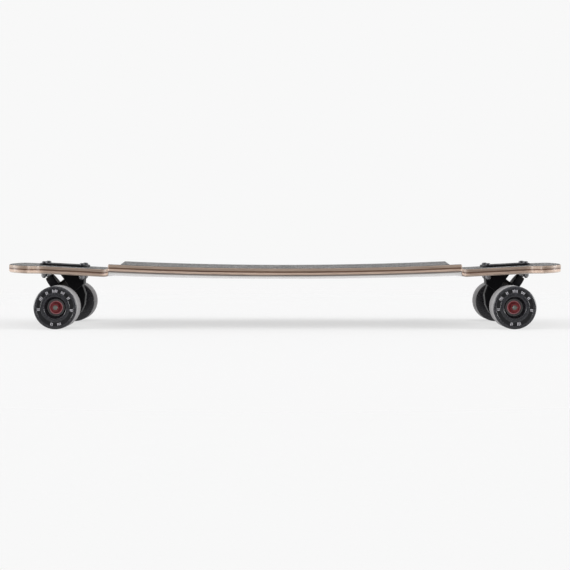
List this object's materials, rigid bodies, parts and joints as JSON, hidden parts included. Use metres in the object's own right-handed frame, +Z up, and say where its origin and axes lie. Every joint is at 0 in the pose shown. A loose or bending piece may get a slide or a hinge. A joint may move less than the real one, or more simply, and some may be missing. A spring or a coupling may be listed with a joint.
{
  "type": "longboard skateboard",
  "caption": "Drop-through longboard: laminated cut-out deck with a grip sheet, steering trucks on urethane bushings and free-spinning bearing wheels.",
  "frame": {"origin": "on the ground under the middle of the deck, wheels standing on it", "axes": "+X along the board to the nose, +Y to its left side, +Z up"},
  "size_m": [0.927, 0.256, 0.1082],
  "materials": {
    "tan_wood": "sealed laminate edge, fine grain",
    "dark_wood": "dyed laminate, fine grain",
    "bottom_wood": "stained veneer under clear satin lacquer",
    "grip": "coarse matte abrasive sheet",
    "black_metal": "black satin powder coat on a casting",
    "dark_steel": "black oxide steel",
    "bright_steel": "ground bearing steel",
    "red_steel": "dark red anodised",
    "bushing": "cast urethane, satin",
    "urethane": "gloss black cast urethane with a ground matte grey tread",
    "core_plastic": "moulded nylon, satin",
    "red_shield": "moulded red seal"
  },
  "bodies": {
    "deck": {"top_ply": "tan_wood", "dark_ply": "dark_wood", "light_ply": "tan_wood", "bottom_ply": "bottom_wood", "grip_sheet": "grip", "front_baseplate": "black_metal", "front_kingpin": "dark_steel", "front_boardside_bushing": "bushing", "front_roadside_bushing": "bushing", "front_kingpin_washers": "dark_steel", "front_kingpin_nut": "dark_steel", "front_pivot_cup": "bushing", "front_mounting_bolts": "dark_steel", "front_mounting_washers": "dark_steel", "front_mounting_nuts": "dark_steel", "rear_baseplate": "black_metal", "rear_kingpin": "dark_steel", "rear_boardside_bushing": "bushing", "rear_roadside_bushing": "bushing", "rear_kingpin_washers": "dark_steel", "rear_kingpin_nut": "dark_steel", "rear_pivot_cup": "bushing", "rear_mounting_bolts": "dark_steel", "rear_mounting_washers": "dark_steel", "rear_mounting_nuts": "dark_steel"},
    "front_hanger_set": {"front_hanger": "black_metal", "front_axle": "bright_steel", "front_axle_washers": "red_steel", "front_axle_nuts": "red_steel", "front_bearing_inner_races": "bright_steel", "front_bearing_spacers": "bright_steel"},
    "front_left_wheel": {"front_left_core": "core_plastic", "front_left_tyre": "urethane", "front_left_bearing_outer_races": "bright_steel", "front_left_bearing_shields": "red_shield", "front_left_bearing_balls": "bright_steel"},
    "front_right_wheel": {"front_right_core": "core_plastic", "front_right_tyre": "urethane", "front_right_bearing_outer_races": "bright_steel", "front_right_bearing_shields": "red_shield", "front_right_bearing_balls": "bright_steel"},
    "rear_hanger_set": {"rear_hanger": "black_metal", "rear_axle": "bright_steel", "rear_axle_washers": "red_steel", "rear_axle_nuts": "red_steel", "rear_bearing_inner_races": "bright_steel", "rear_bearing_spacers": "bright_steel"},
    "rear_left_wheel": {"rear_left_core": "core_plastic", "rear_left_tyre": "urethane", "rear_left_bearing_outer_races": "bright_steel", "rear_left_bearing_shields": "red_shield", "rear_left_bearing_balls": "bright_steel"},
    "rear_right_wheel": {"rear_right_core": "core_plastic", "rear_right_tyre": "urethane", "rear_right_bearing_outer_races": "bright_steel", "rear_right_bearing_shields": "red_shield", "rear_right_bearing_balls": "bright_steel"}
  },
  "joints": [
    {"name": "front_steer", "type": "hinge", "parent": "deck", "child": "front_hanger_set", "pos_m": [0.36835, 0, 0.03753], "axis": [0.6021, 0, 0.7984], "range_deg": [-20, 20], "stiffness_Nm_per_rad": 45, "deforming": ["front_boardside_bushing", "front_roadside_bushing"]},
    {"name": "front_left_spin", "type": "hinge", "parent": "front_hanger_set", "child": "front_left_wheel", "pos_m": [0.3717, 0.103, 0.035], "axis": [0, 1, 0], "continuous": true},
    {"name": "front_right_spin", "type": "hinge", "parent": "front_hanger_set", "child": "front_right_wheel", "pos_m": [0.3717, -0.103, 0.035], "axis": [0, 1, 0], "continuous": true},
    {"name": "rear_steer", "type": "hinge", "parent": "deck", "child": "rear_hanger_set", "pos_m": [-0.36835, 0, 0.03753], "axis": [-0.6021, 0, 0.7984], "range_deg": [-20, 20], "stiffness_Nm_per_rad": 45, "deforming": ["rear_boardside_bushing", "rear_roadside_bushing"]},
    {"name": "rear_left_spin", "type": "hinge", "parent": "rear_hanger_set", "child": "rear_left_wheel", "pos_m": [-0.3717, 0.103, 0.035], "axis": [0, 1, 0], "continuous": true},
    {"name": "rear_right_spin", "type": "hinge", "parent": "rear_hanger_set", "child": "rear_right_wheel", "pos_m": [-0.3717, -0.103, 0.035], "axis": [0, 1, 0], "continuous": true}
  ]
}
